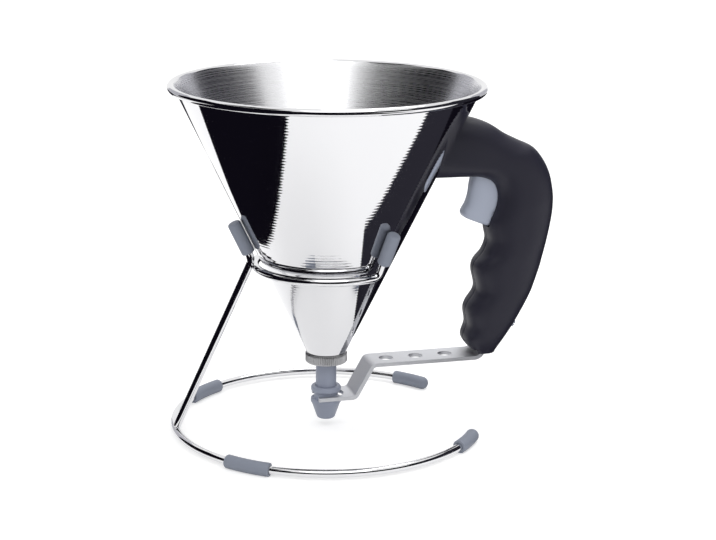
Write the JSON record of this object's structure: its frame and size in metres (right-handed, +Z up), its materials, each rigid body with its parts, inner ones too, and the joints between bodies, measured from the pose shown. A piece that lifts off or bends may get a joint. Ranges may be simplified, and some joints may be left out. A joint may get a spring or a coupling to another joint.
{
  "type": "pancake batter dispenser",
  "caption": "Cone funnel with a pistol handle, a trigger that lifts a sliding valve nozzle through a steel strip, and a wire stand that holds it upright.",
  "frame": {"origin": "middle of the whole object's outline seen from above, on the table", "axes": "+X from the funnel's axis towards the handle, +Y to the left of someone who faces the handle's way, +Z up"},
  "size_m": [0.2044, 0.1642, 0.1829],
  "materials": {
    "mirror_steel": "polished stainless steel",
    "strip_steel": "satin stainless steel",
    "chromed_wire": "chromed steel wire",
    "chromed_nut": "knurled chromed brass look",
    "black_plastic": "moulded black plastic, fine grain",
    "slate_plastic": "moulded slate grey plastic",
    "light_slate_plastic": "moulded light slate plastic",
    "grey_rubber": "grey moulded rubber",
    "silicone": "food silicone",
    "brass": "turned brass"
  },
  "bodies": {
    "stand": {"base_ring": "chromed_wire", "post": "chromed_wire", "cradle_ring": "chromed_wire", "end_cap_left": "grey_rubber", "end_cap_right": "grey_rubber", "base_sleeve_left": "grey_rubber", "base_sleeve_right": "grey_rubber", "rest_pad_rear": "grey_rubber", "rest_pad_left": "grey_rubber", "rest_pad_right": "grey_rubber"},
    "funnel": {"cone": "mirror_steel", "spout_ferrule": "mirror_steel", "gasket": "silicone", "valve_tube": "slate_plastic", "handle_bracket": "strip_steel", "handle_left": "black_plastic", "handle_right": "black_plastic", "handle_screws": "strip_steel", "trigger_pin": "strip_steel", "lever_pin": "strip_steel", "return_spring": "strip_steel", "screw_insert": "brass"},
    "nut": {"knurled_nut": "chromed_nut"},
    "stop_screw": {"flow_screw": "slate_plastic"},
    "trigger": {"trigger": "light_slate_plastic"},
    "lever": {"lever_strip": "strip_steel"},
    "sliding_nozzle": {"nozzle": "slate_plastic", "valve_stem": "strip_steel", "valve_stopper": "silicone"}
  },
  "joints": [
    {"name": "funnel_lift", "type": "slide", "parent": "stand", "child": "funnel", "axis": [0, 0, 1], "range_m": [0, 0.12]},
    {"name": "trigger_pull", "type": "hinge", "parent": "funnel", "child": "trigger", "pos_m": [0.0644, 0, 0.136], "axis": [0, -1, 0], "range_deg": [0, 10.2], "stiffness_Nm_per_rad": 0.5, "springref_deg": -14.32, "deforming": ["return_spring"]},
    {"name": "lever_swing", "type": "hinge", "parent": "funnel", "child": "lever", "pos_m": [0.0694, 0, 0.048], "axis": [0, 1, 0], "range_deg": [0, 4.5]},
    {"name": "nozzle_slide", "type": "slide", "parent": "funnel", "child": "sliding_nozzle", "axis": [0, 0, 1], "range_m": [0, 0.0063]},
    {"name": "nut_turn", "type": "hinge", "parent": "funnel", "child": "nut", "pos_m": [-0.0201, 0, 0.038], "axis": [0, 0, 1], "continuous": true},
    {"name": "stop_screw_turn", "type": "hinge", "parent": "funnel", "child": "stop_screw", "pos_m": [0.0813, 0, 0.0502], "axis": [0.866, 0, -0.5], "continuous": true}
  ],
  "couplings": [
    {"joint": "lever_swing", "follows": "trigger_pull", "ratio": 0.4411},
    {"joint": "nozzle_slide", "follows": "trigger_pull", "m_per_rad": 0.0353}
  ]
}
